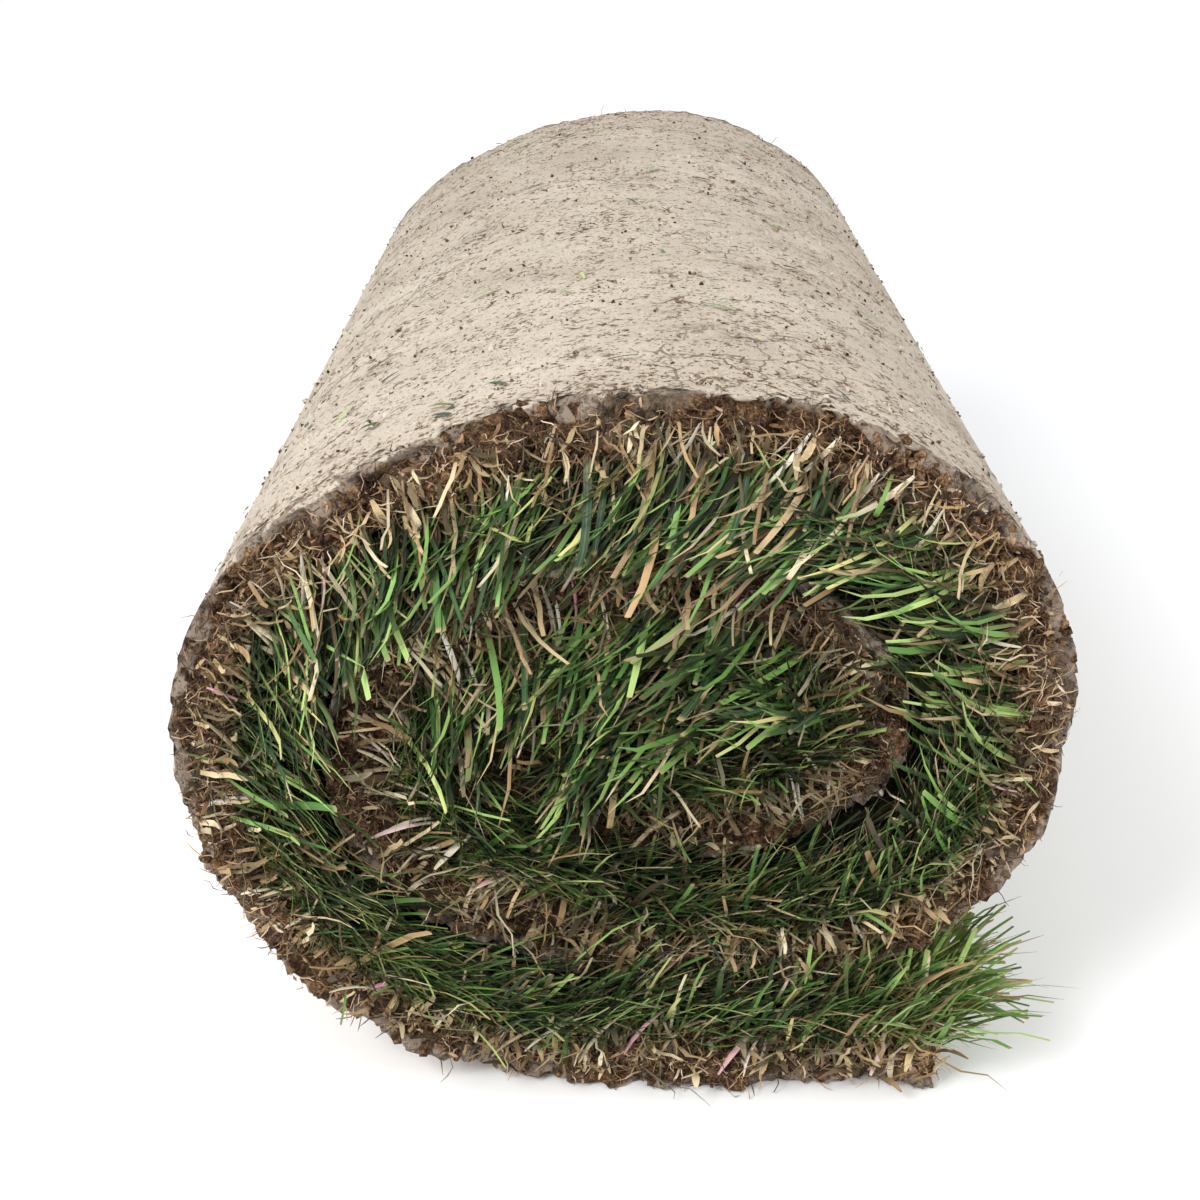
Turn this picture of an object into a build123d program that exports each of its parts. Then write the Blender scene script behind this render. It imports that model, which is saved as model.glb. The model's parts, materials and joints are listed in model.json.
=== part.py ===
from build123d import *

import math
import os

# A roll of cut turf, in millimetres. One strip of soil-and-root mat is wound grass inwards, flat side
# down, and its outer end lies flat on the ground as a tail. The roll's axis runs along Y. The origin is
# on the ground, at the middle of the roll.

# Driving dimensions
roll_length = 610  # the width the strip was cut to, which is the length of the roll
mat_thickness = 19  # soil and roots, as the cutter's blade sliced it
grass_gap = 29  # grass crushed between one turn of the mat and the next
tail_length = 111  # the stretch that lies flat on the ground
tongue_length = 36  # the inner end, past the last quarter turn
bore_diameter = 11  # the hollow that the grass leaves at the core
free_grass = 26  # how far the loose grass stands out past the tail's cut end
free_grass_height = 28  # where it stands out furthest, above the tail's grass side

# The roll has settled under its own weight, so each turn is wide and low: a quarter turn is a flat bend
# near its top or bottom and a sharp bend near its side.
flat_angle = 35
sharp_angle = 90 - flat_angle
layer_pitch = mat_thickness + grass_gap

# The radii of the flat and the sharp bend of each quarter turn, in layer pitches, measured on the soil
# side. They run from the tail to the core, starting at the bottom and going up the left side.
quarter_turns = [
    (3.1, 2.45),
    (4.4, 1.95),
    (2.9, 2.0),
    (2.55, 2.0),
    (3.5, 1.35),
    (2.9, 1.15),
    (2.2, 1.0),
    (2.3, 0.85),
    (1.65, 0.55),
    (1.6, 0.8),
    (1.2, 0.5),
    (1.0, 0.47),
]
tongue_bend = 1.8  # radius of the tongue's slight curl, in layer pitches
first_lap_over_tail = 7  # the edge of the soil side that comes down over the tail's grass
grass_touch = 0.45  # how far along that edge the tail's loose grass meets it
core_roof = -6  # the edge that ends at the top of the innermost turn
core_floor = -2  # the edge that ends at its bottom


def bends():
    """Each bend's radius on the soil side and its angle in degrees, from the tail to the core."""
    for number, (flat, sharp) in enumerate(quarter_turns):
        pair = [(flat * layer_pitch, flat_angle), (sharp * layer_pitch, sharp_angle)]
        yield from pair if number % 2 == 0 else reversed(pair)
    tongue_radius = tongue_bend * layer_pitch
    yield tongue_radius, math.degrees(tongue_length / tongue_radius)


def mat_line(depth):
    """The edges of the line that runs this deep inside the soil side, from the tail's cut end inwards."""
    edges = [Line((0, depth), (-tail_length, depth))]
    for radius, angle in bends():
        edges.append(JernArc(edges[-1] @ 1, edges[-1] % 1, radius - depth, -angle))
    return edges


soil_side = mat_line(0)
grass_side = mat_line(mat_thickness)
tail_cut = Line(soil_side[0] @ 0, grass_side[0] @ 0)
tongue_cut = Line(soil_side[-1] @ 1, grass_side[-1] @ 1)

# The loose grass along the tail: its outer surface bulges from the roll's underside to the tail's edge.
lap_edge = soil_side[first_lap_over_tail].trim(grass_touch, 1)
grass_slope = ThreePointArc(
    lap_edge @ 0,
    (free_grass, mat_thickness + free_grass_height),
    grass_side[0] @ 0,
)

# The section is drawn from the tail's cut end, then placed so that its box is centred over the
# origin.
section_box = Compound([*soil_side, grass_slope]).bounding_box()
section_plane = Plane(
    origin=(-section_box.center().X, 0, 0), x_dir=(1, 0, 0), z_dir=(0, -1, 0)
)

# The mat: one strip, from its cut end on the ground to its tongue at the core
with BuildPart() as root_mat:
    with BuildSketch(section_plane):
        with BuildLine():
            add([*soil_side, *grass_side, tail_cut, tongue_cut])
        make_face()
    extrude(amount=roll_length / 2, both=True)
root_mat.part.label = "root_mat"

# The grass: it fills the gap between the turns and leaves the bore open
bore_centre = (grass_side[core_roof] @ 1 + grass_side[core_floor] @ 1) / 2
inner_turns = soil_side[first_lap_over_tail + 1 :]
with BuildPart() as grass_sward:
    with BuildSketch(section_plane):
        with BuildLine():
            add([*grass_side, tongue_cut, lap_edge, *inner_turns, grass_slope])
        make_face()
        with Locations(bore_centre):
            Circle(bore_diameter / 2, mode=Mode.SUBTRACT)
    extrude(amount=roll_length / 2, both=True)
grass_sward.part.label = "grass_sward"

soil_length = sum(edge.length for edge in soil_side)
grass_length = sum(edge.length for edge in grass_side)
strip_length = (soil_length + grass_length) / 2
print(f"strip {strip_length:.0f} mm long")
print(f"roll {section_box.size.X:.1f} mm wide and {section_box.size.Y:.1f} mm high")

os.makedirs("parts", exist_ok=True)
for piece in (root_mat, grass_sward):
    export_step(piece.part, f"parts/{piece.part.label}.step")
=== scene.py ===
# %% [markdown]
# # A roll of turf
#
# Turf is cut from a field as a long strip: a mat of clay soil bound by roots, with mown grass
# growing out of one side. The strip is rolled up grass inwards, so the roll shows pale sliced
# clay round its outside, and a spiral of brown roots and green blades on each end.
#
# The spiral itself, the length and every other size come from the CAD frame. This lesson turns
# that plain spiral into soil, roots, straw and grass. All sizes are in metres.

# %% Load the frame
import json
import math

import bpy
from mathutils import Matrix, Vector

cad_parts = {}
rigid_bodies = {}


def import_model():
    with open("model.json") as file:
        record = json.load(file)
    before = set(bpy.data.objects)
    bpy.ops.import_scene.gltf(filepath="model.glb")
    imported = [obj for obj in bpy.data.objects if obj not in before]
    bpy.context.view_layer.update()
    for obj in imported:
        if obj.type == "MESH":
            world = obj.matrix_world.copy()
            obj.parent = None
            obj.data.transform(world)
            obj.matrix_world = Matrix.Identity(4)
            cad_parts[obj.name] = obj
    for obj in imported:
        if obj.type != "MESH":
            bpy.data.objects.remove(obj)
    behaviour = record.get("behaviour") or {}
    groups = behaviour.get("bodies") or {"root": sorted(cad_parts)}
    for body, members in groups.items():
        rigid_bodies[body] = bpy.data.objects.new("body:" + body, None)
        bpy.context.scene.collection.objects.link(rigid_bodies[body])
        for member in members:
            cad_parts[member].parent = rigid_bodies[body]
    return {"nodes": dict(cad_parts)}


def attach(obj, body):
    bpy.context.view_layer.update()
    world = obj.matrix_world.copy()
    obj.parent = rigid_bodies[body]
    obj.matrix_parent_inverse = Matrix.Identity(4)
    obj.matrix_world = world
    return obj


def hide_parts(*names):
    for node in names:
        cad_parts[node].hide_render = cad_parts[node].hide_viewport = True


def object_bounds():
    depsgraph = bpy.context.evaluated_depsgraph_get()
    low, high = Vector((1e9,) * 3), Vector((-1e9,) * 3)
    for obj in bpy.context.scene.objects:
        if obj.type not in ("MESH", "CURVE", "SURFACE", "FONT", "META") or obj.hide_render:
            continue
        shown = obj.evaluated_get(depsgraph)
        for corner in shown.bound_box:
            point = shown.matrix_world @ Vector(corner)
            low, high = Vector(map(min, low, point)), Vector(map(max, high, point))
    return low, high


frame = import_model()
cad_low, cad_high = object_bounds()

MM = 0.001
half_length = cad_high.y
print("CAD box", [round(v, 4) for v in (*cad_low, *cad_high)])

# %% [markdown]
# ## Camera, floor and light
#
# The camera looks along the roll from a little above it, close enough for the near end to look
# much larger than the far one. The light is that of a plain studio: a bright even sky and one
# large soft lamp high on the left, which draws the shadows between the blades.

# %% Camera
CAMERA_BACK = 0.5568  # from the camera to the roll's near end
CAMERA_HEIGHT = 0.3932
CAMERA_PITCH = 21.38
CAMERA_TURN = 0.28

bpy.ops.object.camera_add(
    location=(-0.0041, cad_low.y - CAMERA_BACK, CAMERA_HEIGHT),
    rotation=(math.radians(90 - CAMERA_PITCH), 0, math.radians(CAMERA_TURN)),
)
camera = bpy.context.object
camera.data.sensor_width = 36
camera.data.lens = 60
bpy.context.scene.camera = camera

# %% Floor
def plain_material(name, colour, roughness):
    """A material with one Principled shader, and its tree."""
    material = bpy.data.materials.new(name)
    material.use_nodes = True
    shader = material.node_tree.nodes["Principled BSDF"]
    shader.inputs["Base Color"].default_value = (*colour, 1)
    shader.inputs["Roughness"].default_value = roughness
    return material


bpy.ops.mesh.primitive_plane_add(size=24)
floor = bpy.context.object
floor.name = "studio_floor"
floor.data.materials.append(plain_material("studio_white", (0.90, 0.90, 0.895), 0.9))

# %% Light
def soft_lamp(name, place, size, power):
    """A square lamp that faces the middle of the roll."""
    bpy.ops.object.light_add(type="AREA", location=place)
    lamp = bpy.context.object
    lamp.name = name
    lamp.data.size = size
    lamp.data.energy = power
    aim = (cad_low + cad_high) / 2 - lamp.location
    lamp.rotation_euler = aim.to_track_quat("-Z", "Y").to_euler()


soft_lamp("key_lamp", (-1.15, -1.6, 1.45), 0.9, 46)
soft_lamp("fill_lamp", (1.6, -1.2, 1.2), 1.2, 15)
world = bpy.data.worlds.new("studio")
bpy.context.scene.world = world
world.use_nodes = True
world.node_tree.nodes["Background"].inputs["Color"].default_value = (0.97, 0.98, 1.0, 1)
world.node_tree.nodes["Background"].inputs["Strength"].default_value = 0.92
bpy.context.scene.view_settings.view_transform = "Standard"

# %% [markdown]
# ## Helpers
#
# Operators act on what is selected, so every step starts by selecting one piece and nothing else.
# Node trees, for geometry and for shaders, are built by one short function that adds a node and
# fills its sockets with either a number or another node's output.

# %% Selecting and applying
def pick(piece):
    """Selects one piece only, and makes it active."""
    bpy.ops.object.select_all(action="DESELECT")
    piece.select_set(True)
    bpy.context.view_layer.objects.active = piece


def triangles(piece):
    """How many triangles a piece's mesh has."""
    return sum(len(face.vertices) - 2 for face in piece.data.polygons)


def copy_of_node(node, name):
    """A merged copy of a CAD node's mesh as a new piece. The node itself is left alone."""
    piece = bpy.data.objects.new(name, frame["nodes"][node].data.copy())
    piece.data.materials.clear()
    bpy.context.collection.objects.link(piece)
    pick(piece)
    bpy.ops.object.mode_set(mode="EDIT")
    bpy.ops.mesh.select_all(action="SELECT")
    bpy.ops.mesh.remove_doubles(threshold=1e-5)
    bpy.ops.object.mode_set(mode="OBJECT")
    return piece


# %% Building node trees
def socket(sockets, key):
    """The socket at an index, or the shown one with a name."""
    if isinstance(key, int):
        return sockets[key]
    return next(s for s in sockets if s.name == key and s.enabled)


def put(tree, kind, inputs=None, **settings):
    """Adds a node, sets its properties, and fills its inputs with values or other nodes' outputs."""
    node = tree.nodes.new(kind)
    for key, value in settings.items():
        setattr(node, key, value)
    for key, value in (inputs or {}).items():
        target = socket(node.inputs, key)
        if isinstance(value, bpy.types.NodeSocket):
            tree.links.new(value, target)
        else:
            target.default_value = value
    return node


def calc(tree, operation, a, b=0.0):
    """One step of arithmetic on numbers or outputs."""
    return put(tree, "ShaderNodeMath", {0: a, 1: b}, operation=operation).outputs[0]


def ramp(tree, value, low, high, to_low=0.0, to_high=1.0):
    """value eased from low..high to to_low..to_high, and held at the ends."""
    return put(
        tree,
        "ShaderNodeMapRange",
        {"Value": value, "From Min": low, "From Max": high, "To Min": to_low, "To Max": to_high},
        interpolation_type="SMOOTHSTEP",
    ).outputs[0]


def noise(tree, vector, scale, detail=2.0, roughness=0.5, stretch=0.0):
    """Smooth random values from 0 to 1, with lumps about 1/scale metres across."""
    settings = {"Vector": vector, "Scale": scale, "Detail": detail, "Roughness": roughness}
    return put(tree, "ShaderNodeTexNoise", settings | {"Distortion": stretch}).outputs[0]


def geometry_tree(name):
    """An empty Geometry Nodes tree: (tree, its input geometry, a function that sets its output)."""
    tree = bpy.data.node_groups.new(name, "GeometryNodeTree")
    tree.interface.new_socket("Geometry", in_out="INPUT", socket_type="NodeSocketGeometry")
    tree.interface.new_socket("Geometry", in_out="OUTPUT", socket_type="NodeSocketGeometry")
    start = tree.nodes.new("NodeGroupInput")
    end = tree.nodes.new("NodeGroupOutput")

    def finish(output):
        tree.links.new(output, end.inputs[0])

    return tree, start.outputs[0], finish


def run_geometry(piece, tree):
    """Runs a Geometry Nodes tree on a piece and keeps the result as plain mesh."""
    pick(piece)
    piece.modifiers.new(tree.name, "NODES").node_group = tree
    bpy.ops.object.modifier_apply(modifier=tree.name)


# %% [markdown]
# ## An even floor
#
# The lamps reach only the floor near the roll. So that it stays white as far as the horizon, the
# rest of it gets a faint light of its own, which grows with the distance from the roll.

# %% Light the far floor
GLOW_STARTS = 0.6  # metres from the middle of the roll
GLOW_FULL = 2.2
GLOW = 0.16

tree = floor.data.materials[0].node_tree
shader = tree.nodes["Principled BSDF"]
away = put(tree, "ShaderNodeVectorMath", {0: put(tree, "ShaderNodeTexCoord").outputs["Object"]},
           operation="LENGTH").outputs["Value"]
shader.inputs["Emission Color"].default_value = (1, 1, 1, 1)
glow = ramp(tree, away, GLOW_STARTS, GLOW_FULL, 0, GLOW)
tree.links.new(glow, shader.inputs["Emission Strength"])

# %% [markdown]
# ## The two sides of the strip
#
# The mat has a soil side, which the cutter's blade sliced, and a grass side. Both are smooth all
# along the spiral, and both end at the square cuts of the tail and the tongue. So one face of the
# flat tail is enough to find a whole side: the selection spreads from it over every face that
# meets it at a gentle angle. The sides become beds, on which grass, straw and litter are planted later.

# %% Separate the sides
def side_of_mat(name, starts_at):
    """A copy of one side of the mat. starts_at picks a face of the flat tail on that side."""
    piece = copy_of_node("root_mat", name)
    mesh = piece.data
    seed = next(face.index for face in mesh.polygons if starts_at(face))
    bpy.ops.object.mode_set(mode="EDIT")
    bpy.ops.mesh.select_mode(type="FACE")
    bpy.ops.mesh.select_all(action="DESELECT")
    bpy.ops.object.mode_set(mode="OBJECT")
    mesh.polygons[seed].select = True
    bpy.ops.object.mode_set(mode="EDIT")
    bpy.ops.mesh.faces_select_linked_flat(sharpness=math.radians(40))
    bpy.ops.mesh.select_all(action="INVERT")
    bpy.ops.mesh.delete(type="FACE")
    bpy.ops.object.mode_set(mode="OBJECT")
    area = sum(face.area for face in mesh.polygons)
    print(name, "faces", len(mesh.polygons), "strip length", round(area / (2 * half_length), 3))
    return piece


upward = [f for f in frame["nodes"]["root_mat"].data.polygons if f.normal.z > 0.999]
mat_thickness = min(face.center.z for face in upward)
soil_side = side_of_mat("soil_side", lambda f: f.normal.z < -0.999 and f.center.z < MM)
grass_side = side_of_mat(
    "grass_side", lambda f: f.normal.z > 0.999 and abs(f.center.z - mat_thickness) < MM / 10
)
tail_end = max(v.co.x for v in grass_side.data.vertices if v.co.z < mat_thickness + MM)
tail_end = min(tail_end, max(v.co.x for v in soil_side.data.vertices if v.co.z < MM))
print("mat", round(mat_thickness, 4), "thick, tail ends at", round(tail_end, 4))

# %% [markdown]
# ## The mat of soil and roots
#
# The CAD solid has the right spiral but perfectly smooth faces. A voxel remesh gives it an even
# skin of small faces, fine enough to carry crumbs and pits, and rounds its cut edges as soil does.
# A Geometry Nodes tree then moves every point: the sliced clay side gets gentle waves and pits, and
# the cut ends are torn to different depths. Before moving anything it measures how deep each point
# lies in the mat and how far from an end, and keeps both for the colours.

# %% An even skin
SKIN_VOXEL = 2.6 * MM

mat_guide = copy_of_node("root_mat", "mat_guide")
mat = copy_of_node("root_mat", "turf_root_mat")
remesh = mat.modifiers.new("even_skin", "REMESH")
remesh.mode = "VOXEL"
remesh.voxel_size = SKIN_VOXEL
bpy.ops.object.modifier_apply(modifier=remesh.name)
print("even skin:", triangles(mat), "triangles")

# %% Node steps that several trees share
def place_of(tree):
    """The position of each point, and its x, y and z."""
    place = put(tree, "GeometryNodeInputPosition").outputs[0]
    parts = put(tree, "ShaderNodeSeparateXYZ", {0: place})
    return place, parts.outputs[0], parts.outputs[1], parts.outputs[2]


def store(tree, geometry, name, value, domain="POINT"):
    """Keeps a number on every point or instance under a name."""
    inputs = {"Geometry": geometry, "Name": name, "Value": value}
    return put(tree, "GeometryNodeStoreNamedAttribute", inputs, domain=domain).outputs[0]


def centred(tree, value, size):
    """Turns values of 0 to 1 into lengths from -size/2 to size/2."""
    return calc(tree, "MULTIPLY", calc(tree, "SUBTRACT", value, 0.5), size)


def move(tree, geometry, x=0.0, y=0.0, z=0.0, offset=None):
    """Shifts every point by x, y and z, or by a whole offset."""
    step = offset or put(tree, "ShaderNodeCombineXYZ", {0: x, 1: y, 2: z}).outputs[0]
    return put(tree, "GeometryNodeSetPosition", {"Geometry": geometry, "Offset": step}).outputs[0]


def from_core(tree, x, z):
    """How far out a point lies in the roll's oval section: 0 at the core, 1 at the outer clay."""
    across = calc(tree, "DIVIDE", x, cad_high.x)
    up = calc(tree, "DIVIDE", calc(tree, "SUBTRACT", z, cad_high.z / 2), cad_high.z / 2)
    squares = calc(tree, "ADD", calc(tree, "MULTIPLY", across, across), calc(tree, "MULTIPLY", up, up))
    return calc(tree, "SQRT", squares)


def set_back(tree, x, z):
    """How far the ends of the inner turns lie behind the end of the outermost one."""
    return ramp(tree, from_core(tree, x, z), 0.80, 0.30, 0, CORE_SET_BACK)


# %% Roughen the mat
CORE_SET_BACK = 17 * MM  # how far the core lies behind the outer turn's end
END_TEAR = 7 * MM  # how far the cut ends are torn back
END_BITE = 9 * MM  # how much further they are torn in broad bites
CLAY_WAVE = 2.4 * MM  # the height of the waves in the clay
PIT_DEPTH = 2.0 * MM

tree, geometry, finish = geometry_tree("roughen_mat")
place, x, y, z = place_of(tree)
normal = put(tree, "GeometryNodeInputNormal").outputs[0]
soil_face = put(tree, "GeometryNodeObjectInfo", {"Object": soil_side}).outputs["Geometry"]
depth = put(tree, "GeometryNodeProximity", {0: soil_face}, target_element="FACES").outputs["Distance"]
rim = calc(tree, "SUBTRACT", half_length, calc(tree, "ABSOLUTE", y))
geometry = store(tree, geometry, "depth", depth)
geometry = store(tree, geometry, "rim", rim)

near_end = ramp(tree, rim, 0.5 * MM, 40 * MM, 1, 0)
crumb = noise(tree, place, 120, detail=5, roughness=0.75)
tear = ramp(tree, crumb, 0.36, 0.64, 0, END_TEAR)
ragged = ramp(tree, noise(tree, place, 32, detail=3, roughness=0.6), 0.42, 0.70, 0, END_BITE)
inward = calc(tree, "ADD", calc(tree, "ADD", tear, ragged), set_back(tree, x, z))
inward = calc(tree, "MULTIPLY", inward, near_end)
inward = calc(tree, "MULTIPLY", inward, calc(tree, "MULTIPLY", calc(tree, "SIGN", y), -1))
on_clay = ramp(tree, depth, 0.2 * MM, 1.5 * MM, 1, 0)
wave = centred(tree, noise(tree, place, 26, detail=6, roughness=0.66), CLAY_WAVE)
cells = put(tree, "ShaderNodeTexVoronoi", {"Vector": place, "Scale": 130.0})
pit_kind = put(tree, "ShaderNodeSeparateXYZ", {0: cells.outputs["Color"]}).outputs[0]
pit = calc(tree, "MULTIPLY", ramp(tree, cells.outputs["Distance"], 0.12, 0.42, 1, 0),
           ramp(tree, pit_kind, 0.45, 0.6))
pit = calc(tree, "MULTIPLY", calc(tree, "MULTIPLY", pit, on_clay), -PIT_DEPTH)
lump = centred(tree, noise(tree, place, 170, detail=4, roughness=0.75), 8 * MM)
lump = calc(tree, "MULTIPLY", lump, calc(tree, "SUBTRACT", 1, on_clay))
along_normal = calc(tree, "ADD", calc(tree, "ADD", wave, pit), lump)
offset = put(tree, "ShaderNodeVectorMath", {0: normal, "Scale": along_normal}, operation="SCALE")
geometry = move(tree, geometry, offset=offset.outputs[0])
on_tail_end = calc(tree, "MULTIPLY", ramp(tree, x, tail_end - 6 * MM, tail_end - MM),
                   calc(tree, "LESS_THAN", z, mat_thickness + MM))
from_tail = calc(tree, "MULTIPLY", calc(tree, "ADD", tear, ragged), on_tail_end)
geometry = move(tree, geometry, x=calc(tree, "MULTIPLY", from_tail, -0.7), y=inward)
below = calc(tree, "MAXIMUM", calc(tree, "SUBTRACT", 0.3 * MM, place_of(tree)[3]), 0)
geometry = move(tree, geometry, z=below)

# What faces another turn, away from the ends, is never seen, so it needs few faces.
guide = put(tree, "GeometryNodeObjectInfo", {"Object": mat_guide}).outputs["Geometry"]
start = put(tree, "ShaderNodeVectorMath", {0: normal, "Scale": 3 * MM}, operation="SCALE").outputs[0]
start = put(tree, "ShaderNodeVectorMath", {0: place, 1: start}, operation="ADD").outputs[0]
ray = {"Target Geometry": guide, "Source Position": start, "Ray Direction": normal, "Ray Length": 0.07}
covered = put(tree, "GeometryNodeRaycast", ray).outputs["Is Hit"]
hidden = calc(tree, "MULTIPLY", ramp(tree, rim, 25 * MM, 40 * MM), covered)
geometry = store(tree, geometry, "hidden", hidden)
finish(geometry)
run_geometry(mat, tree)
print("mat box", [round(c, 4) for c in mat.bound_box[0]], [round(c, 4) for c in mat.bound_box[6]])

# %% Thin the hidden faces
MAT_TRIANGLES = 188_000

pick(mat)
mat.data.attributes.active = mat.data.attributes["hidden"]
bpy.ops.geometry.attribute_convert(mode="VERTEX_GROUP")
for group in ("hidden", ""):
    thin = mat.modifiers.new("thin", "DECIMATE")
    thin.ratio = min(1, MAT_TRIANGLES / triangles(mat))
    thin.vertex_group = group
    bpy.ops.object.modifier_apply(modifier=thin.name)
bpy.ops.object.shade_smooth()
print("mat:", triangles(mat), "triangles")

# %% [markdown]
# ## Soil colours
#
# Two shader groups serve several materials. `soil_grain` turns a place into crumbs: a colour
# between dark humus, root-bound brown and dry tan, which one input darkens towards black as
# painted shade, and a height for the bump. `leaf_tissue` gives everything that grew its colour:
# green or dry, pale at the foot and browned at the cut tip, and darkened towards black by painted shade.

# %% Shader groups
def shader_group(name, inputs, outputs):
    """An empty shader group: (tree, its inputs by name, a function that sets an output)."""
    tree = bpy.data.node_groups.new(name, "ShaderNodeTree")
    for label, kind, value in inputs:
        made = tree.interface.new_socket(label, in_out="INPUT", socket_type="NodeSocket" + kind)
        if value is not None:
            made.default_value = value
    for label, kind in outputs:
        tree.interface.new_socket(label, in_out="OUTPUT", socket_type="NodeSocket" + kind)
    start = tree.nodes.new("NodeGroupInput")
    end = tree.nodes.new("NodeGroupOutput")
    return tree, start.outputs, lambda label, value: tree.links.new(value, end.inputs[label])


def blend(tree, amount, a, b):
    """Mixes two colours."""
    return put(
        tree, "ShaderNodeMix", {"Factor": amount, "A": a, "B": b}, data_type="RGBA"
    ).outputs[2]


def rgb(red, green, blue):
    """An opaque colour."""
    return (red, green, blue, 1)


def colours(tree, value, stops):
    """A colour ramp through (place, colour) stops."""
    node = put(tree, "ShaderNodeValToRGB", {0: value})
    band = node.color_ramp
    while len(band.elements) < len(stops):
        band.elements.new(0.5)
    for element, (at, colour) in zip(band.elements, stops):
        element.position = at
        element.color = colour
    return node.outputs[0]


tree, given, give = shader_group(
    "soil_grain",
    [("Vector", "Vector", None), ("Painted shade", "Float", 0.0)],
    [("Colour", "Color"), ("Height", "Float")],
)
coarse = noise(tree, given["Vector"], 150, detail=5, roughness=0.7, stretch=0.6)
fine = noise(tree, given["Vector"], 620, detail=4, roughness=0.75, stretch=1.2)
grain = calc(tree, "ADD", calc(tree, "MULTIPLY", coarse, 0.45), calc(tree, "MULTIPLY", fine, 0.55))
crumbs = colours(
    tree,
    grain,
    [
        (0.39, rgb(0.006, 0.0035, 0.002)),
        (0.48, rgb(0.070, 0.035, 0.016)),
        (0.56, rgb(0.23, 0.13, 0.064)),
        (0.66, rgb(0.52, 0.35, 0.20)),
    ],
)
clod = ramp(tree, noise(tree, given["Vector"], 55, detail=3), 0.54, 0.62)
crumbs = blend(tree, calc(tree, "MULTIPLY", clod, 0.7), crumbs, rgb(0.19, 0.145, 0.10))
# Painted shade: one input darkens the crumbs towards near-black.
give("Colour", blend(tree, given["Painted shade"], crumbs, rgb(0.02, 0.012, 0.007)))
give("Height", grain)
soil_grain = tree

tree, given, give = shader_group(
    "leaf_tissue",
    [
        ("Tone", "Float", 0.5),
        ("Along", "Float", 0.5),
        ("Across", "Float", 0.0),
        ("Dry share", "Float", 0.2),
        ("Shade", "Float", 1.0),
        ("Foot", "Color", rgb(0.55, 0.52, 0.30)),
    ],
    [("Colour", "Color"), ("Height", "Float")],
)
green = colours(
    tree,
    given["Tone"],
    [
        (0.0, rgb(0.005, 0.013, 0.004)),
        (0.25, rgb(0.027, 0.075, 0.020)),
        (0.5, rgb(0.092, 0.205, 0.044)),
        (0.75, rgb(0.24, 0.42, 0.105)),
        (0.9, rgb(0.43, 0.57, 0.19)),
        (1.0, rgb(0.58, 0.52, 0.21)),
    ],
)
spread = put(tree, "ShaderNodeTexWhiteNoise", {"W": given["Tone"]}, noise_dimensions="1D").outputs[0]
dry = colours(
    tree,
    spread,
    [
        (0.0, rgb(0.12, 0.065, 0.030)),
        (0.3, rgb(0.41, 0.26, 0.12)),
        (0.7, rgb(0.60, 0.46, 0.26)),
        (1.0, rgb(0.74, 0.66, 0.46)),
    ],
)
is_dry = calc(tree, "LESS_THAN", put(
    tree, "ShaderNodeTexWhiteNoise", {"W": calc(tree, "ADD", given["Tone"], 7.3)}, noise_dimensions="1D"
).outputs[0], given["Dry share"])
tissue = blend(tree, is_dry, green, dry)
tip = ramp(tree, given["Along"], 0.93, 1.0)
tissue = blend(tree, calc(tree, "MULTIPLY", tip, spread), tissue, rgb(0.46, 0.33, 0.17))
foot = ramp(tree, given["Along"], 0.02, 0.24, 1, 0)
tissue = blend(tree, calc(tree, "MULTIPLY", foot, 0.6), tissue, given["Foot"])
vein = calc(tree, "SINE", calc(tree, "MULTIPLY", given["Across"], 19.0))
midrib = ramp(tree, calc(tree, "ABSOLUTE", given["Across"]), 0.0, 0.22, 1, 0)
tissue = blend(tree, calc(tree, "MULTIPLY", midrib, 0.2), tissue, rgb(0.30, 0.42, 0.17))
# Painted shade: where Shade is below 1, the colour is darkened towards near-black.
shaded = calc(tree, "SUBTRACT", 1, given["Shade"])
tissue = blend(tree, shaded, tissue, rgb(0.012, 0.012, 0.006))
give("Colour", tissue)
give("Height", calc(tree, "SUBTRACT", calc(tree, "MULTIPLY", vein, 0.3), midrib))
leaf_tissue = tree

# %% Shader helpers
def new_material(name, roughness=0.8):
    """A new material: (material, tree, its Principled shader)."""
    material = plain_material(name, (0.5, 0.5, 0.5), roughness)
    return material, material.node_tree, material.node_tree.nodes["Principled BSDF"]


def use_group(tree, group, inputs):
    """Adds a shader group with its inputs filled, and gives its outputs."""
    node = put(tree, "ShaderNodeGroup", node_tree=group)
    for key, value in inputs.items():
        if isinstance(value, bpy.types.NodeSocket):
            tree.links.new(value, node.inputs[key])
        else:
            node.inputs[key].default_value = value
    return node.outputs


def kept(tree, name):
    """A number that was kept on the mesh under a name."""
    return put(tree, "ShaderNodeAttribute", attribute_name=name).outputs["Fac"]


def bumped(tree, shader, height, distance, strength=1.0):
    """Gives a shader fine relief from a height."""
    inputs = {"Height": height, "Distance": distance, "Strength": strength}
    bump = put(tree, "ShaderNodeBump", inputs)
    tree.links.new(bump.outputs[0], shader.inputs["Normal"])


# %% Soil material
DUST_REACH = 130 * MM  # how far from each end the clay is browner

soil, tree, shader = new_material("turf_soil", 0.92)
shader.inputs["Specular IOR Level"].default_value = 0.2
place = put(tree, "ShaderNodeTexCoord").outputs["Object"]
depth = kept(tree, "depth")
rim = kept(tree, "rim")
grain = use_group(tree, soil_grain, {"Vector": place, "Painted shade": 0.0})

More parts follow.
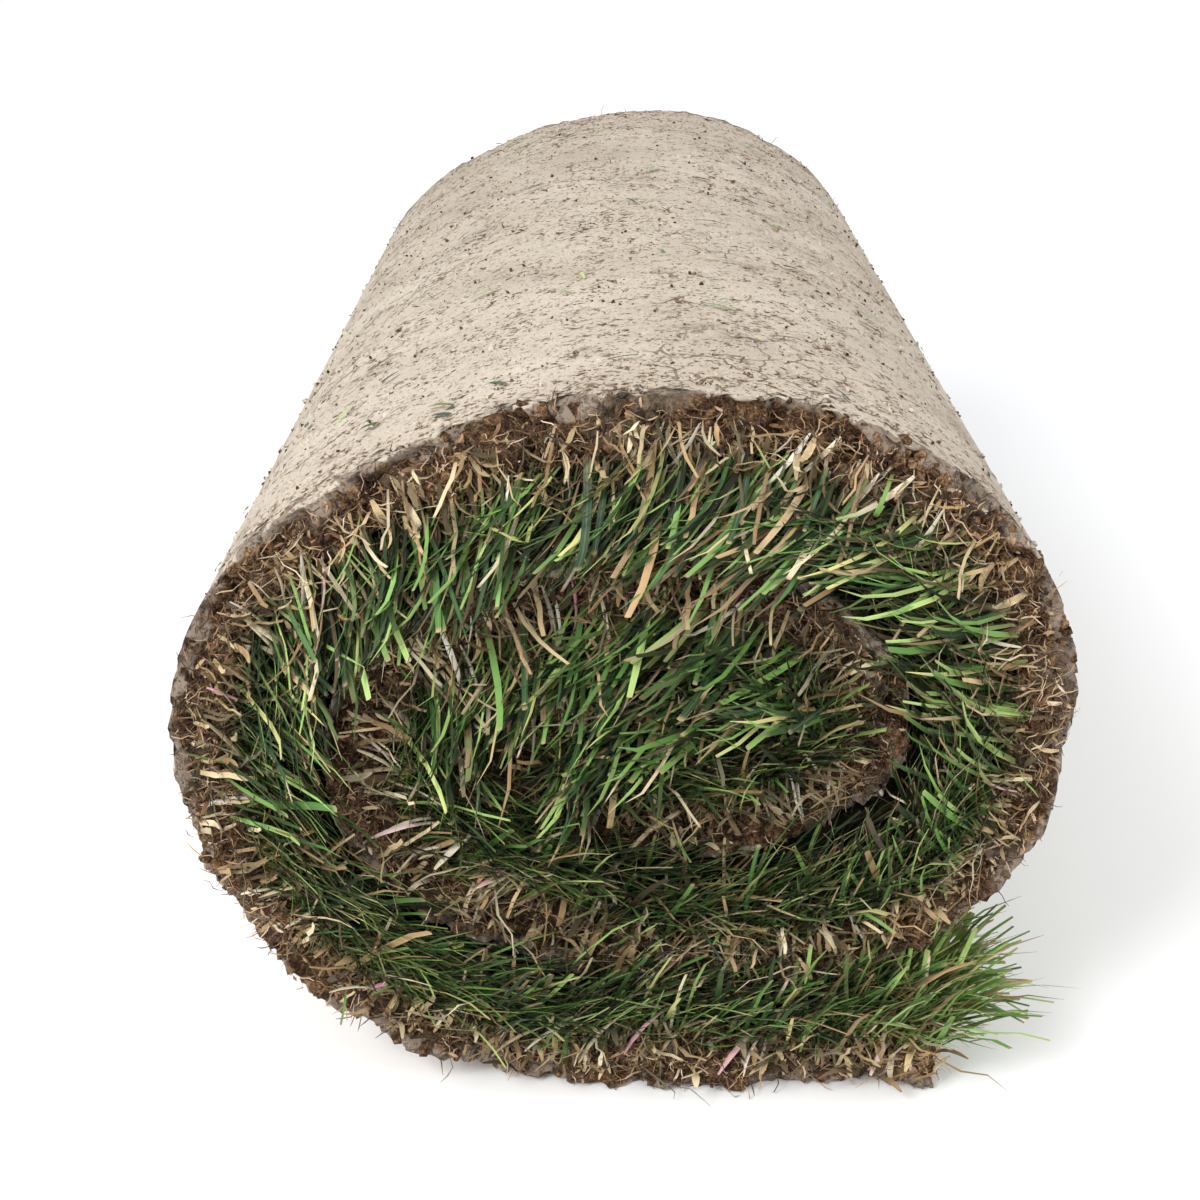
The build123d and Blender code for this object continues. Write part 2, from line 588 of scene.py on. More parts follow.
# The sliced clay: pale and dry, with brown flecks that crowd towards the ends, and a few cracks.
# The flecks keep away from some patches and gather in others.
broad = noise(tree, place, 16, detail=4)
clay = colours(tree, broad, [(0.3, rgb(0.44, 0.375, 0.30)), (0.5, rgb(0.52, 0.45, 0.365)),
                             (0.7, rgb(0.58, 0.51, 0.42))])
dusty = ramp(tree, rim, DUST_REACH, 6 * MM, 0, 0.22)
clay = blend(tree, dusty, clay, rgb(0.40, 0.32, 0.235))
speckle = noise(tree, place, 1100, detail=3, roughness=0.7)
clay = blend(tree, ramp(tree, speckle, 0.56, 0.68), clay, rgb(0.40, 0.31, 0.22))
clay = blend(tree, ramp(tree, speckle, 0.42, 0.32), clay, rgb(0.68, 0.61, 0.52))
crowd = ramp(tree, noise(tree, place, 20, detail=4), 0.35, 0.65, -0.012, 0.012)
crowd = calc(tree, "ADD", crowd, ramp(tree, noise(tree, place, 75, detail=3), 0.35, 0.65, -0.03, 0.03))
crowd = calc(tree, "ADD", crowd, ramp(tree, rim, 60 * MM, 4 * MM, 0, 0.04))


def flecks(scale, low, high, stretch=0.3):
    """A mask of small uneven flecks. low and high are the noise levels between which they grow."""
    level = calc(tree, "ADD", noise(tree, place, scale, detail=3, roughness=0.6, stretch=stretch), crowd)
    return ramp(tree, level, low, high)


rust = calc(tree, "MAXIMUM", flecks(290, 0.60, 0.65), flecks(560, 0.59, 0.65))
pits = calc(tree, "MAXIMUM", flecks(290, 0.66, 0.70), flecks(560, 0.66, 0.71))
clay = blend(tree, calc(tree, "MULTIPLY", rust, 0.75), clay, rgb(0.33, 0.20, 0.105))
clay = blend(tree, pits, clay, rgb(0.085, 0.048, 0.026))
bent = put(tree, "ShaderNodeTexNoise", {"Vector": place, "Scale": 60.0, "Detail": 3.0}).outputs["Color"]
bent = put(tree, "ShaderNodeVectorMath", {0: bent, "Scale": 22 * MM}, operation="SCALE").outputs[0]
bent = put(tree, "ShaderNodeVectorMath", {0: place, 1: bent}, operation="ADD").outputs[0]
plates = put(tree, "ShaderNodeTexVoronoi", {"Vector": bent, "Scale": 42.0}, feature="DISTANCE_TO_EDGE")
cracks = calc(tree, "MULTIPLY", ramp(tree, plates.outputs["Distance"], 0.024, 0.008),
              ramp(tree, noise(tree, place, 13, detail=2), 0.57, 0.64))
clay = blend(tree, calc(tree, "MULTIPLY", cracks, 0.7), clay, rgb(0.14, 0.09, 0.055))
pits = calc(tree, "MAXIMUM", pits, cracks)
ragged = calc(tree, "ADD", rim, centred(tree, noise(tree, place, 70, detail=4), 30 * MM))
on_clay = calc(
    tree, "MULTIPLY", ramp(tree, depth, 1.4 * MM, 0.5 * MM), ramp(tree, ragged, 1 * MM, 3 * MM)
)

# On the torn ends the clay reaches a few millimetres into the mat, in grey smears.
smear = calc(tree, "ADD", depth, centred(tree, noise(tree, place, 38, detail=4), 26 * MM))
edge = ramp(tree, smear, 4.0 * MM, 2.6 * MM)
body = blend(tree, calc(tree, "MULTIPLY", edge, 0.85), grain["Colour"], rgb(0.27, 0.215, 0.165))
tree.links.new(blend(tree, on_clay, body, clay), shader.inputs["Base Color"])
rough = calc(tree, "SUBTRACT", 1, calc(tree, "MULTIPLY", edge, 0.7))
height = calc(tree, "MULTIPLY", grain["Height"], rough)
height = calc(tree, "ADD", height, calc(tree, "MULTIPLY", speckle, 0.25))
height = calc(tree, "SUBTRACT", height, calc(tree, "MULTIPLY", calc(tree, "ADD", pits, rust), 0.45))
bumped(tree, shader, height, 1.8 * MM, 1.0)
mat.data.materials.append(soil)

# %% [markdown]
# ## The grass
#
# Every blade is one of a few leaves, each modelled once: a narrow grid stood on end, folded a
# little along its middle, tapered row by row, then bent over row by row. Geometry Nodes plants
# copies of them on the mat's grass side. Each copy stands on the mat's own normal there and leans
# towards the tail, as the rolling pressed it; close to an end it also leans out of the roll.

# %% Model a leaf
def select_rows(piece, first, last=99):
    """Selects the vertices of the rows from first to last, counted up from the foot."""
    bpy.ops.object.mode_set(mode="EDIT")
    bpy.ops.mesh.select_all(action="DESELECT")
    bpy.ops.object.mode_set(mode="OBJECT")
    rows = piece["rows"]
    for vertex, along in zip(piece.data.vertices, piece.data.attributes["along"].data):
        vertex.select = first <= round(along.value * rows) <= last
    bpy.ops.object.mode_set(mode="EDIT")


def leaf(name, material, length, width, bends, taper, fold=0.0, curl=0.0):
    """A leaf that stands at the origin. bends are degrees of lean added at each row, and taper is
    the width at each row. curl turns the rows sideways in turn, as in a root or a dry blade."""
    rows = len(bends)
    bpy.ops.mesh.primitive_grid_add(x_subdivisions=rows, y_subdivisions=2 if fold else 1, size=1)
    piece = bpy.context.object
    piece.name = name
    piece.scale = (length, width, 1)
    piece.location.x = length / 2
    bpy.ops.object.transform_apply()
    piece.rotation_euler.y = -math.pi / 2
    bpy.ops.object.transform_apply()
    piece["rows"] = rows
    along = piece.data.attributes.new("along", "FLOAT", "POINT")
    across = piece.data.attributes.new("across", "FLOAT", "POINT")
    for vertex in piece.data.vertices:
        along.data[vertex.index].value = vertex.co.z / length
        across.data[vertex.index].value = 2 * vertex.co.y / width
        if abs(vertex.co.y) < width / 4:
            vertex.co.x -= fold
    for row, share in enumerate(taper):
        select_rows(piece, row, row)
        bpy.ops.transform.resize(value=(share, share, 1), center_override=(0, 0, row * length / rows))
    for row, bend in enumerate(bends):
        select_rows(piece, row, row)
        bpy.ops.object.mode_set(mode="OBJECT")
        here = [v.co for v in piece.data.vertices if v.select]
        pivot = sum(here, start=here[0] * 0) / len(here)
        select_rows(piece, row + 1)
        bpy.ops.transform.rotate(value=-math.radians(bend), orient_axis="Y", center_override=pivot)
        if curl:
            bpy.ops.transform.rotate(
                value=math.radians(curl * (-1) ** row), orient_axis="X", center_override=pivot
            )
    bpy.ops.object.mode_set(mode="OBJECT")
    bpy.ops.object.shade_smooth()
    piece.data.materials.append(material)
    bpy.context.collection.objects.unlink(piece)
    return piece


def kind_of_stock(name, pieces):
    """Puts pieces in a collection of their own, for Geometry Nodes to pick from."""
    group = bpy.data.collections.new(name)
    for piece in pieces:
        group.objects.link(piece)
    return group


def leaf_material(name, dry_share, foot, roughness=0.42):
    """A material for blades or straw. dry_share is how many of them are dry, from 0 to 1."""
    material, tree, shader = new_material(name, roughness)
    inputs = {label: kept(tree, label.lower()) for label in ("Tone", "Along", "Across", "Shade")}
    tissue = use_group(tree, leaf_tissue, inputs | {"Dry share": dry_share, "Foot": foot})
    tree.links.new(tissue["Colour"], shader.inputs["Base Color"])
    bumped(tree, shader, tissue["Height"], 0.15 * MM, 0.5)
    shader.inputs["Specular IOR Level"].default_value = 0.3
    dull = ramp(tree, inputs["Shade"], 0, 1, 0.95, roughness)
    tree.links.new(dull, shader.inputs["Roughness"])
    return material


grass_green = leaf_material("grass_blade", 0.17, rgb(0.17, 0.14, 0.055))
POINTED = (0.75, 1, 1, 0.85, 0.12)
MOWN = (0.8, 1, 1, 0.95, 0.8)
broad_blades = kind_of_stock("broad_blades", [
    leaf("blade_a", grass_green, 42 * MM, 1.9 * MM, (36, 12, 10, 8), MOWN, 0.30 * MM),
    leaf("blade_b", grass_green, 52 * MM, 1.6 * MM, (44, 10, 9, 9), POINTED, 0.25 * MM),
    leaf("blade_c", grass_green, 34 * MM, 2.3 * MM, (46, 4, 3, 3), MOWN, 0.35 * MM),
    leaf("blade_d", grass_green, 57 * MM, 1.7 * MM, (38, 14, 14, 16), POINTED, 0.25 * MM),
    leaf("blade_e", grass_green, 46 * MM, 2.8 * MM, (42, 9, 12, 14), MOWN, 0.40 * MM),
])
cut_blades = kind_of_stock("cut_blades", [
    leaf("cut_a", grass_green, 42 * MM, 2.2 * MM, (34, 10, 8, 6), MOWN),
    leaf("cut_b", grass_green, 36 * MM, 2.9 * MM, (42, 6, 6, 6), MOWN, 0.4 * MM),
    leaf("cut_c", grass_green, 46 * MM, 1.8 * MM, (36, 12, 8, 8), MOWN),
])
fine_blades = kind_of_stock("fine_blades", [
    leaf("fine_a", grass_green, 34 * MM, 1.2 * MM, (58, 6, 5, 6), POINTED),
    leaf("fine_b", grass_green, 40 * MM, 1.4 * MM, (34, 4, 48, 8), MOWN),
    leaf("fine_c", grass_green, 48 * MM, 1.3 * MM, (42, 9, 9, 9), MOWN),
    leaf("fine_d", grass_green, 28 * MM, 1.6 * MM, (40, -8, 12, 6), MOWN),
    leaf("fine_e", grass_green, 54 * MM, 1.1 * MM, (32, 12, 14, 18), POINTED),
])
clippings = kind_of_stock("clippings", [
    leaf("clipping_a", grass_green, 15 * MM, 1.7 * MM, (2, 5, 4, 5), MOWN),
    leaf("clipping_b", grass_green, 8 * MM, 2.1 * MM, (2, 3, 4, 3), MOWN),
])

# %% Model straw, stems and roots
straw = leaf_material("dry_straw", 1.0, rgb(0.30, 0.20, 0.11), 0.7)
dry_bits = kind_of_stock("dry_bits", [
    leaf("straw_a", straw, 14 * MM, 1.3 * MM, (10, 30, -20, 15), MOWN, 0, 14),
    leaf("straw_b", straw, 22 * MM, 1.0 * MM, (15, 10, 25, -10), MOWN, 0, 8),
    leaf("straw_c", straw, 10 * MM, 1.9 * MM, (5, 20, 25, 10), (0.5, 0.9, 1, 0.8, 0.3)),
    leaf("straw_d", straw, 28 * MM, 0.7 * MM, (10, 35, -15, 40), POINTED, 0, 20),
    leaf("straw_e", straw, 7 * MM, 1.5 * MM, (10, 10, 10, 10), (0.4, 1, 1, 0.7, 0.3), 0, 18),
])


def toned_material(name, roughness, stops):
    """A material whose colour follows each piece's own tone: (material, tree, shader, colour)."""
    material, tree, shader = new_material(name, roughness)
    colour = colours(tree, kept(tree, "tone"), stops)
    tree.links.new(colour, shader.inputs["Base Color"])
    return material, tree, shader, colour


stem, tree, shader, colour = toned_material("pale_stem", 0.55, [
    (0.0, rgb(0.46, 0.36, 0.22)),
    (0.45, rgb(0.64, 0.57, 0.42)),
    (0.75, rgb(0.72, 0.70, 0.60)),
    (0.9, rgb(0.60, 0.33, 0.36)),
    (1.0, rgb(0.50, 0.20, 0.27)),
])
greening = ramp(tree, kept(tree, "along"), 0.45, 1.0, 0, 0.9)
tree.links.new(blend(tree, greening, colour, rgb(0.16, 0.27, 0.07)), shader.inputs["Base Color"])
stems = kind_of_stock("stems", [
    leaf("stem_a", stem, 30 * MM, 2.8 * MM, (5, 8, 10, 12), (0.5, 1, 0.9, 0.75, 0.6), 0.9 * MM),
    leaf("stem_b", stem, 22 * MM, 1.9 * MM, (8, 12, -5, 12), (0.6, 1, 0.9, 0.7, 0.5), 0.6 * MM),
    leaf("stem_c", stem, 36 * MM, 3.6 * MM, (6, 6, 8, 10), (0.4, 1, 0.9, 0.6, 0.35), 1.2 * MM),
])

root, tree, shader, colour = toned_material("root_fibre", 0.85, [
    (0.0, rgb(0.010, 0.005, 0.003)),
    (0.4, rgb(0.070, 0.034, 0.015)),
    (0.7, rgb(0.31, 0.175, 0.088)),
    (0.92, rgb(0.46, 0.32, 0.19)),
    (1.0, rgb(0.68, 0.56, 0.40)),
])
EVEN = (0.7, 1, 1, 1, 0.4)
roots = kind_of_stock("roots", [
    leaf("root_a", root, 6 * MM, 0.40 * MM, (30, -45, 60, -30), EVEN, 0, 25),
    leaf("root_b", root, 9 * MM, 0.34 * MM, (-20, 50, 40, -60), EVEN, 0, 35),
    leaf("root_c", root, 5 * MM, 0.60 * MM, (40, 40, 20, 40), EVEN, 0, 15),
    leaf("root_d", root, 11 * MM, 0.36 * MM, (15, -30, 35, 45), EVEN, 0, -30),
    leaf("root_e", root, 4 * MM, 1.1 * MM, (20, -20, 30, 10), EVEN, 0, 10),
])

# %% Model a few crumbs
def crumb_piece(name, size, seed, depth, rim):
    """A lump of soil: a coarse ball with its corners knocked about. depth and rim are those of the
    place in the mat that it takes its colour from."""
    bpy.ops.mesh.primitive_ico_sphere_add(subdivisions=1, radius=size / 2)
    piece = bpy.context.object
    piece.name = name
    for label, value in (("depth", depth), ("rim", rim)):
        for item in piece.data.attributes.new(label, "FLOAT", "POINT").data:
            item.value = value
    bpy.ops.object.mode_set(mode="EDIT")
    bpy.ops.mesh.select_all(action="SELECT")
    bpy.ops.transform.resize(value=(1, 0.8, 0.65))
    bpy.ops.transform.vertex_random(offset=size * 0.22, seed=seed)
    bpy.ops.object.mode_set(mode="OBJECT")
    piece.data.materials.append(soil)
    bpy.context.collection.objects.unlink(piece)
    return piece


crumbs = kind_of_stock("crumbs", [
    crumb_piece(f"crumb_{n}", size * MM, n + 1, 10 * MM, 0) for n, size in enumerate((2.2, 3.2, 4.6, 7.0))
])
clay_crumbs = kind_of_stock("clay_crumbs", [
    crumb_piece(f"clay_crumb_{n}", size * MM, n + 5, depth * MM, 0.1)
    for n, (size, depth) in enumerate(((1.6, 10), (2.4, 0), (2.0, 10), (3.4, 0)))
])
# %% [markdown]
# ## Planting
#
# One function plants everything that is loose or grows. It strews points over a bed, deletes those
# that its rule for the share kept rules out, and puts a copy of a random piece from a group on each
# point that is left. Every copy stands on the bed's own normal, faces the tail, and is then turned
# and tilted. It keeps a tone and a shade of its own, which the materials turn into colour. The shade
# is painted shade: pieces far behind the torn face, and a random share of all of them, are darkened
# towards black to stand for the dark between the blades. On the last part of the tail the tone is
# raised and the shade lifted, as painted light.

# %% Plant copies on a bed
END_GRASS = 36 * MM  # how deep the grass is planted from each end
OUT_FREE = 6 * MM  # how far a blade may stick out of an end before it is pressed back
OUT_PRESS = 0.6  # the share of the rest that is pressed back
LIT_TAIL = 45 * MM  # the last part of the tail, whose blades get painted light
LIT_TONE = 0.82
SHADE_DEPTH = 17 * MM  # how far behind the torn face the deepest painted shade starts


def scatter(name, bed, group, per_cm2, seed, share, turn, tilt, size, lift=(0, 0), flush=False,
            deep_shade=1.0, darkest=0.0):
    """A joined mesh of copies of a group's pieces, stood on a bed.

    share, turn and tilt are functions of the tree and a few outputs (see `here`), and give the
    share of the copies that are kept, the turn about the bed's normal, and the extra lean, in radians.
    size is the range of scales. lift raises the feet off the bed, flush brings them to the torn
    face of the nearer end, and deep_shade is the painted shade, a darkening of the colour, of the
    pieces that stand far behind it. darkest is the lowest tone that a piece can have.
    """
    piece = bpy.data.objects.new(name, bed.data.copy())
    bpy.context.collection.objects.link(piece)
    tree, geometry, finish = geometry_tree(name)

    def here():
        """What is known of each point. rim is how far it lies behind the torn face."""
        place, x, y, z = place_of(tree)
        rim = calc(tree, "SUBTRACT", half_length, calc(tree, "ABSOLUTE", y))
        rim = calc(tree, "SUBTRACT", rim, set_back(tree, x, z))
        return {"place": place, "x": x, "y": y, "z": z, "rim": rim, "end": calc(tree, "SIGN", y)}

    def chance(low, high, number):
        """A random value for each point. number tells one draw from the others."""
        node = put(tree, "FunctionNodeRandomValue", {"Min": low, "Max": high}, data_type="FLOAT")
        socket(node.inputs, "Seed").default_value = 100 * seed + number
        return socket(node.outputs, "Value")

    points = put(tree, "GeometryNodeDistributePointsOnFaces",
                 {"Mesh": geometry, "Density": per_cm2 * 1e4, "Seed": seed})
    left_out = calc(tree, "GREATER_THAN", chance(0, 1, 0), share(tree, here()))
    normal = points.outputs["Normal"]
    to_tail = put(tree, "ShaderNodeVectorMath", {0: (0, 1, 0), 1: normal}, operation="CROSS_PRODUCT")
    stand = put(tree, "FunctionNodeAlignRotationToVector", {"Vector": normal}, axis="Z")
    faced = put(tree, "FunctionNodeAlignRotationToVector",
                {"Rotation": stand.outputs[0], "Vector": to_tail.outputs[0]}, axis="X", pivot_axis="Z")
    angles = {1: tilt(tree, here(), chance), 2: turn(tree, here(), chance)}
    lean = put(tree, "FunctionNodeEulerToRotation",
               {0: put(tree, "ShaderNodeCombineXYZ", angles).outputs[0]}).outputs[0]
    rotation = put(tree, "FunctionNodeRotateRotation", {0: faced.outputs[0], 1: lean},
                   rotation_space="LOCAL").outputs[0]
    picked = put(tree, "GeometryNodeCollectionInfo",
                 {"Collection": group, "Separate Children": True, "Reset Children": True})
    index = put(tree, "FunctionNodeRandomValue", data_type="INT")
    socket(index.inputs, "Max").default_value = len(group.objects) - 1
    socket(index.inputs, "Seed").default_value = 100 * seed + 9
    spots = put(tree, "GeometryNodeDeleteGeometry",
                {"Geometry": points.outputs["Points"], "Selection": left_out}).outputs[0]
    raised = put(tree, "ShaderNodeVectorMath", {0: normal, "Scale": chance(*lift, 5)}, operation="SCALE")
    spots = move(tree, spots, offset=raised.outputs[0])
    if flush:
        spot = here()
        out = calc(tree, "SUBTRACT", spot["rim"], chance(-1 * MM, 5 * MM, 6))
        spots = move(tree, spots, y=calc(tree, "MULTIPLY", out, spot["end"]))
    planted = put(tree, "GeometryNodeInstanceOnPoints", {
        "Points": spots, "Instance": picked.outputs[0], "Pick Instance": True,
        "Instance Index": socket(index.outputs, "Value"), "Rotation": rotation,
        "Scale": chance(*size, 8),
    }).outputs[0]
    spot = here()
    # Painted light: near the tail's end, each piece's tone is raised towards LIT_TONE and its painted shade
    # is lifted.
    flat = calc(tree, "LESS_THAN", spot["z"], mat_thickness + 8 * MM)
    lit = product(tree, flat, ramp(tree, spot["x"], tail_end - LIT_TAIL, tail_end - 5 * MM))
    tone = chance(darkest, 1, 7)
    brighter = product(tree, calc(tree, "SUBTRACT", LIT_TONE, tone), lit, 0.6)
    tone = calc(tree, "ADD", tone, brighter)
    planted = store(tree, planted, "tone", tone, domain="INSTANCE")
    # Painted shade: pieces far behind the torn face, and a random share of all pieces (hidden), get a darker
    # colour to stand for the dark between the blades.
    shade = ramp(tree, spot["rim"], 1 * MM, SHADE_DEPTH, 1, calc(tree, "MAXIMUM", deep_shade, lit))
    hidden = ramp(tree, chance(0, 1, 10), 0, 0.7, ramp(tree, lit, 0, 1, 0.12, 0.6), 1)
    shade = calc(tree, "MULTIPLY", shade, hidden)
    planted = store(tree, planted, "shade", shade, domain="INSTANCE")
    grown = put(tree, "GeometryNodeRealizeInstances", {0: planted}).outputs[0]

    # Nothing lies under the ground, and what sticks out of an end is pressed back a little.
    _, x, y, z = place_of(tree)
    past = calc(tree, "SUBTRACT", calc(tree, "ABSOLUTE", y), half_length + OUT_FREE)
    past = calc(tree, "MAXIMUM", past, 0)
    back = calc(tree, "MULTIPLY", calc(tree, "MULTIPLY", past, -OUT_PRESS), calc(tree, "SIGN", y))
    up = calc(tree, "MAXIMUM", calc(tree, "SUBTRACT", 0.6 * MM, z), 0)
    finish(move(tree, grown, y=back, z=up))
    run_geometry(piece, tree)
    print(name, triangles(piece), "triangles")
    return piece


def product(tree, *factors):
    """All factors multiplied."""
    result = factors[0]
    for factor in factors[1:]:
        result = calc(tree, "MULTIPLY", result, factor)
    return result


# %% [markdown]
# ## Grass, straw and stems at the ends
#
# The grass fills the gap between the turns. Deep in the gap the blades lean towards the tail, as
# the rolling pressed them, and the closer they stand to an end the further they lean out of it.
# Straw and the pale foot of a few stems sit where the grass leaves the mat.

# %% Rules for the ends
def within(reach, sign):
    """A share that is full at one end of the roll and fades out over a reach from it."""

    def share(tree, here):
        inside = ramp(tree, here["rim"], reach, reach * 0.4)
        behind_face = calc(tree, "GREATER_THAN", here["rim"], 0)
        side = calc(tree, "GREATER_THAN", calc(tree, "MULTIPLY", here["end"], sign), 0)
        return product(tree, inside, behind_face, side)

    return share


def lean_out(least, most, wander=0.35):
    """Turns pieces near an end out of the roll, and the rest a little either way, in tufts."""

    def turn(tree, here, chance):
        close = ramp(tree, here["rim"], 30 * MM, 0)
        out = product(tree, chance(least, most, 1), close, here["end"])
        tuft = centred(tree, noise(tree, here["place"], 48), 3 * wander)
        return calc(tree, "ADD", calc(tree, "ADD", out, tuft), chance(-wander, wander, 2))

    return turn


def between(low, high, number=3, tufts=0.0):
    """A random angle, with a wander of its own that pieces near each other share."""

    def angle(tree, here, chance):
        shared = centred(tree, noise(tree, here["place"], 20), tufts)
        return calc(tree, "ADD", chance(low, high, number), shared)

    return angle


# %% Plant the ends
ANY_WAY = (-3.1, 3.1)  # radians, for pieces that lie any way round

made = {"soil_and_roots": [mat], "grass": []}
for end, sign, amount in (("near", -1, 1.0), ("far", 1, 0.7)):
    made["grass"] += [
        scatter(f"grass_{end}_end", grass_side, broad_blades, 12 * amount, 3, within(END_GRASS, sign),
                lean_out(0.0, 1.0), between(-0.35, 0.25, tufts=1.6), (0.6, 1.0),
                lift=(-3 * MM, 4 * MM), deep_shade=0.1),
        scatter(f"fine_grass_{end}_end", grass_side, fine_blades, 26 * amount, 4, within(END_GRASS, sign),
                lean_out(0.0, 1.1), between(-0.40, 0.25, tufts=1.6), (0.6, 1.05),
                lift=(-3 * MM, 6 * MM), deep_shade=0.1),
        scatter(f"fringe_{end}_end", grass_side, broad_blades, 19 * amount, 6, within(9 * MM, sign),
                lean_out(0.25, 1.0, wander=0.6), between(-0.55, 0.0, tufts=1.4), (0.6, 1.05),
                lift=(-5 * MM, 6 * MM)),
        scatter(f"straw_{end}_end", grass_side, dry_bits, 34 * amount, 7, within(16 * MM, sign),
                between(*ANY_WAY, 1), between(-0.5, 1.2), (0.6, 1.4), lift=(-14 * MM, 12 * MM), flush=True),
        scatter(f"stray_blades_{end}_end", grass_side, fine_blades, 2.2 * amount, 9, within(14 * MM, sign),
                lean_out(0.6, 1.5, wander=1.2), between(-1.8, 0.6), (0.5, 1.0),
                lift=(-12 * MM, 8 * MM), flush=True, darkest=0.3),
        scatter(f"stems_{end}_end", grass_side, stems, 1.8 * amount, 8, within(12 * MM, sign),
                between(-0.6, 0.6, 1), between(-0.2, 0.5), (0.5, 1.0), lift=(-13 * MM, -2 * MM), flush=True),
    ]

# %% [markdown]
# ## Roots and crumbs on the torn faces
#
# Fine roots and crumbs cover the mat's torn faces: both ends of the roll, and the cut end of the
# tail. They start a few millimetres below the clay, which is too smooth to hold them.

# %% Roots and crumbs
FACE_REACH = 1.5 * MM  # how near to a cut a point of the mat counts as part of its face


def torn_face(sign, least_depth):
    """A share that is full on the mat's torn faces in one half of the roll. least_depth is how far
    under the clay it starts."""

    def share(tree, here):
        rim = put(tree, "GeometryNodeInputNamedAttribute", {"Name": "rim"}, data_type="FLOAT").outputs[0]
        depth = put(tree, "GeometryNodeInputNamedAttribute", {"Name": "depth"}, data_type="FLOAT").outputs[0]
        on_face = calc(tree, "LESS_THAN", rim, FACE_REACH)
        at_tail = calc(tree, "GREATER_THAN", here["x"], tail_end - FACE_REACH)
        low = calc(tree, "LESS_THAN", here["z"], mat_thickness)
        on_face = calc(tree, "MAXIMUM", on_face, product(tree, at_tail, low))
        inside = ramp(tree, depth, least_depth, least_depth + 3 * MM)
        side = calc(tree, "GREATER_THAN", calc(tree, "MULTIPLY", here["end"], sign), 0)
        return product(tree, on_face, inside, side)

    return share


for end, sign, amount in (("near", -1, 1.0), ("far", 1, 0.6)):
    made["soil_and_roots"] += [
        scatter(f"roots_{end}_end", mat, roots, 38 * amount, 11, torn_face(sign, 3 * MM),
                between(*ANY_WAY, 1), between(0.5, 1.5), (0.5, 1.2)),
        scatter(f"crumbs_{end}_end", mat, crumbs, 4.5 * amount, 12, torn_face(sign, 0),
                between(*ANY_WAY, 1), between(*ANY_WAY), (0.4, 1.2)),
    ]

# %% [markdown]
# ## Litter on the clay
#
# Clippings, straw and crumbs stick to the clay here and there.

# %% Litter
def outermost(tree, here):
    """Full on the outer clay above the ground, and nothing between the turns."""
    outside = calc(tree, "GREATER_THAN", from_core(tree, here["x"], here["z"]), 0.8)
    whole = calc(tree, "GREATER_THAN", here["rim"], END_TEAR + END_BITE)
    return product(tree, outside, whole, calc(tree, "GREATER_THAN", here["z"], 12 * MM))


made["grass"].append(
    scatter("clippings_on_clay", soil_side, clippings, 0.045, 21, outermost,
            between(*ANY_WAY, 1), between(1.42, 1.52), (0.5, 1.1), lift=(0.6 * MM, 1.6 * MM)))
made["soil_and_roots"] += [
    scatter("straw_on_clay", soil_side, dry_bits, 0.07, 22, outermost,
            between(*ANY_WAY, 1), between(1.40, 1.54), (0.3, 0.8), lift=(0.4 * MM, 1.4 * MM)),
    scatter("crumbs_on_clay", soil_side, clay_crumbs, 0.55, 23, outermost,
            between(*ANY_WAY, 1), between(*ANY_WAY), (0.4, 1.1), lift=(-0.6 * MM, 0.4 * MM)),
]

# %% [markdown]
# ## Loose grass along the tail
#
# Nothing presses on the grass of the last part of the tail, so it stands freely all along the roll.

# %% Grass along the tail
TAIL_GRASS = 56 * MM  # how deep it is planted, from the tail's end


def on_tail(tree, here):
    """Full on the grass side of the last part of the tail."""
    flat = calc(tree, "LESS_THAN", here["z"], mat_thickness + MM)
    near_edge = ramp(tree, here["x"], tail_end - TAIL_GRASS, tail_end - TAIL_GRASS * 0.7)
    return product(tree, flat, near_edge)


made["grass"] += [
    # darkest keeps these blades to the lighter tones: painted light on grass that lies in the roll's shadow.
    scatter("grass_along_tail", grass_side, cut_blades, 22, 5, on_tail,
            between(-0.9, 0.9, 1), between(-1.0, -0.2, tufts=1.0), (0.65, 1.0), darkest=0.45),
    scatter("fine_grass_along_tail", grass_side, fine_blades, 9, 15, on_tail,
            between(-0.9, 0.9, 1), between(-1.0, -0.1, tufts=1.0), (0.5, 0.75), darkest=0.5),
]
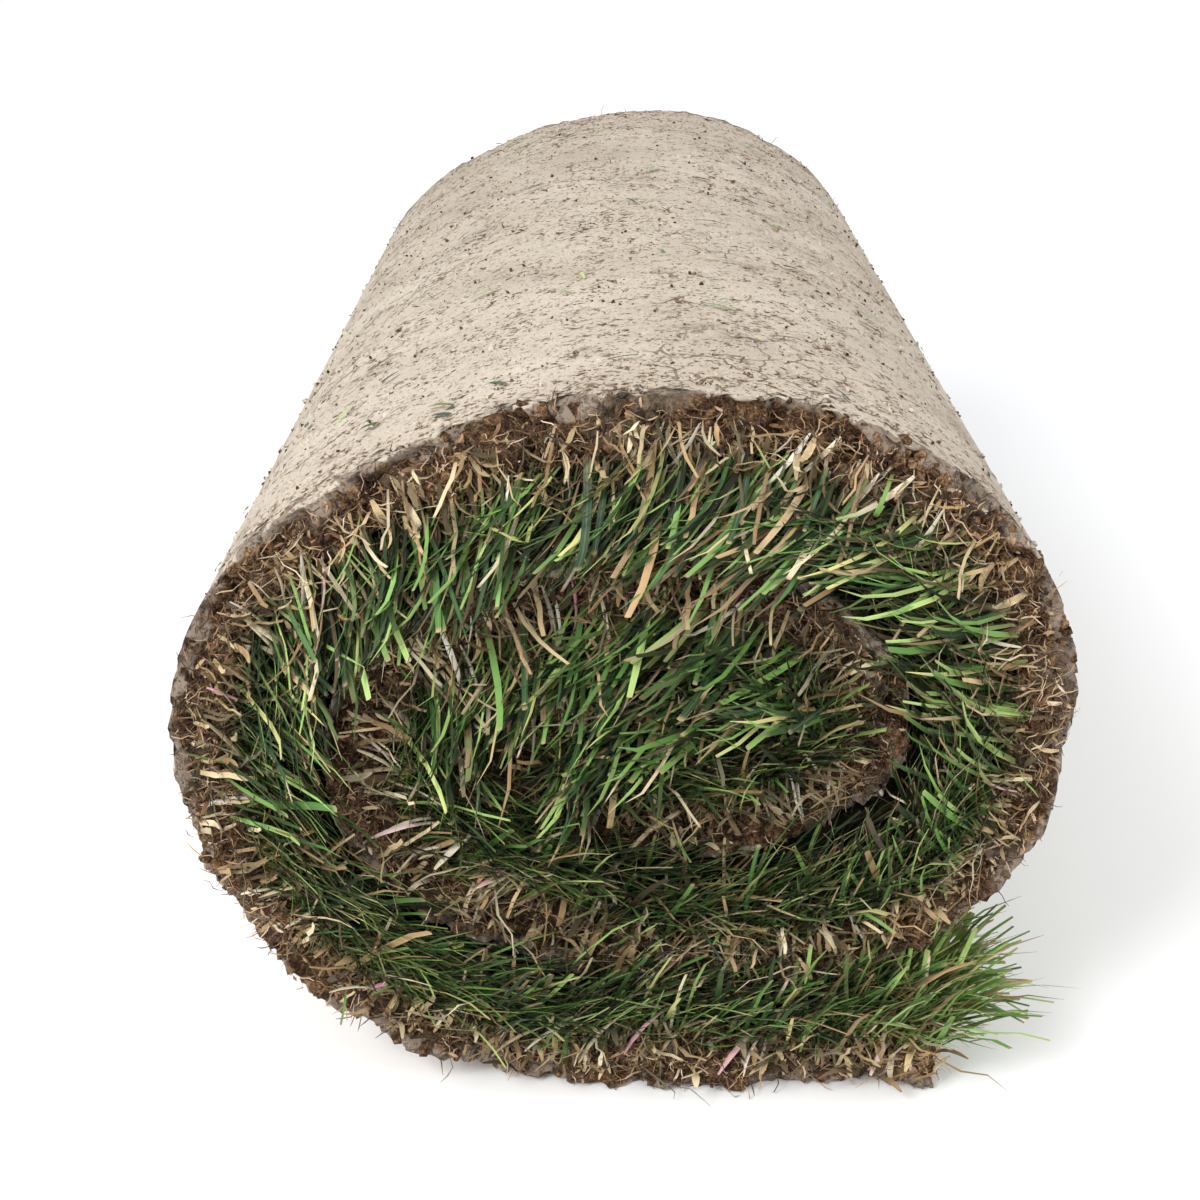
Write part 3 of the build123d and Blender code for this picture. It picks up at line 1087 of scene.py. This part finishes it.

# %% [markdown]
# ## The pressed grass inside
#
# Between the planted blades one can look into the gaps. What is seen there is the CAD's own body
# of grass, drawn back behind the blades, a little slimmer, and painted nearly black as the shade in
# the gaps. Under the belly of the roll it is drawn back from the side as well, behind the tail's
# loose grass.

# %% Pressed grass
sward = copy_of_node("grass_sward", "grass_pressed_inside")
BODY_SET_BACK = 20 * MM  # behind each end
TAIL_SET_BACK = 46 * MM  # behind the outer surface of the loose grass along the tail
pick(sward)
middle = cad_high.z / 2
for vertex in sward.data.vertices:
    place = vertex.co
    out = math.hypot(place.x / cad_high.x, (place.z - middle) / middle)
    if out > 0.87 and place.x > tail_end / 2 and place.z < middle * 0.85:
        place.x -= TAIL_SET_BACK
    place.y *= 1 - BODY_SET_BACK / half_length
bpy.ops.object.mode_set(mode="EDIT")
bpy.ops.mesh.select_all(action="SELECT")
bpy.ops.transform.shrink_fatten(value=-3 * MM)
bpy.ops.object.mode_set(mode="OBJECT")
pressed, tree, shader = new_material("pressed_grass_painted_dark", 0.9)
place = put(tree, "ShaderNodeTexCoord").outputs["Object"]
# Painted shade: the body's colour is the crumb colour darkened towards black, with nearly black streaks.
grain = use_group(tree, soil_grain, {"Vector": place, "Painted shade": 0.8})
streak = noise(tree, place, 260, detail=3)
dark = blend(tree, ramp(tree, streak, 0.40, 0.55), grain["Colour"], rgb(0.008, 0.014, 0.005))
tree.links.new(dark, shader.inputs["Base Color"])
bumped(tree, shader, grain["Height"], 2 * MM)
shader.inputs["Specular IOR Level"].default_value = 0.1
sward.data.materials.append(pressed)

# %% [markdown]
# ## Hand over
#
# The beds have done their work and go. The mat and the pressed grass stand for the two CAD nodes,
# the pieces are listed under two slot names, and everything rides on the one body.

# %% Slots, bodies and sizes
for piece in (soil_side, grass_side, mat_guide):
    bpy.data.objects.remove(piece)
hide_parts("root_mat")
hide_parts("grass_sward")
made["grass"].append(sward)
for slot, pieces in made.items():
    for piece in pieces:
        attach(piece, "root")
sizes_of_pieces = {p.name: triangles(p) for ps in made.values() for p in ps}
print(sizes_of_pieces)
print("total", sum(triangles(p) for ps in made.values() for p in ps), "triangles")
